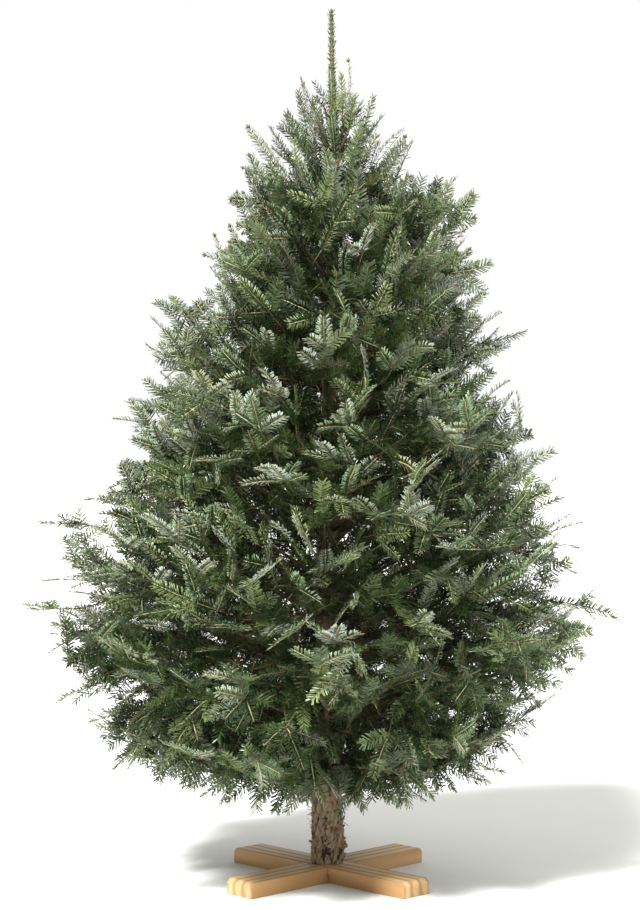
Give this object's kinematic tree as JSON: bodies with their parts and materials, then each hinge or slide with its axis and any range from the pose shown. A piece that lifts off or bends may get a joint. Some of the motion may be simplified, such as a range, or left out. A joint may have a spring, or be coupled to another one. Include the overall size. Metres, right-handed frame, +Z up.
{
  "type": "christmas tree",
  "caption": "Cut fir tree with upswept boughs in tiers, a bare leader and a straight sawn trunk, standing on a plain flat cross of two lapped boards.",
  "frame": {"origin": "centre of the stand's flat underside, on the floor, under the trunk's foot", "axes": "+Z up along the trunk; -Y towards the tree's front, where the lowest boughs part; +X to the right as seen from the front"},
  "size_m": [1.3846, 1.4417, 2.1683],
  "materials": {
    "bark": "rough grey-brown bark",
    "needles": "waxy green needles on brown twigs",
    "stand_wood": "bare planed softwood"
  },
  "bodies": {
    "root": {"bough_tier_1_a": "bark", "bough_tier_1_b": "bark", "bough_tier_1_c": "bark", "bough_tier_1_d": "bark", "bough_tier_1_e": "bark", "bough_tier_1_f": "bark", "bough_tier_2_a": "bark", "bough_tier_2_b": "bark", "bough_tier_2_c": "bark", "bough_tier_2_d": "bark", "bough_tier_2_e": "bark", "bough_tier_2_f": "bark", "foliage_tier_10_a": "needles", "foliage_tier_10_b": "needles", "foliage_tier_1_a": "needles", "foliage_tier_1_b": "needles", "foliage_tier_1_c": "needles", "foliage_tier_1_d": "needles", "foliage_tier_1_e": "needles", "foliage_tier_1_f": "needles", "foliage_tier_2_a": "needles", "foliage_tier_2_b": "needles", "foliage_tier_2_c": "needles", "foliage_tier_2_d": "needles", "foliage_tier_2_e": "needles", "foliage_tier_2_f": "needles", "foliage_tier_3_a": "needles", "foliage_tier_3_b": "needles", "foliage_tier_3_c": "needles", "foliage_tier_3_d": "needles", "foliage_tier_3_e": "needles", "foliage_tier_3_f": "needles", "foliage_tier_4_a": "needles", "foliage_tier_4_b": "needles", "foliage_tier_4_c": "needles", "foliage_tier_4_d": "needles", "foliage_tier_4_e": "needles", "foliage_tier_5_a": "needles", "foliage_tier_5_b": "needles", "foliage_tier_5_c": "needles", "foliage_tier_5_d": "needles", "foliage_tier_5_e": "needles", "foliage_tier_6_a": "needles", "foliage_tier_6_b": "needles", "foliage_tier_6_c": "needles", "foliage_tier_6_d": "needles", "foliage_tier_7_a": "needles", "foliage_tier_7_b": "needles", "foliage_tier_7_c": "needles", "foliage_tier_7_d": "needles", "foliage_tier_8_a": "needles", "foliage_tier_8_b": "needles", "foliage_tier_8_c": "needles", "foliage_tier_9_a": "needles", "foliage_tier_9_b": "needles", "foliage_tier_9_c": "needles", "stand_board_lower": "stand_wood", "stand_board_upper": "stand_wood", "trunk": "bark"}
  },
  "joints": []
}
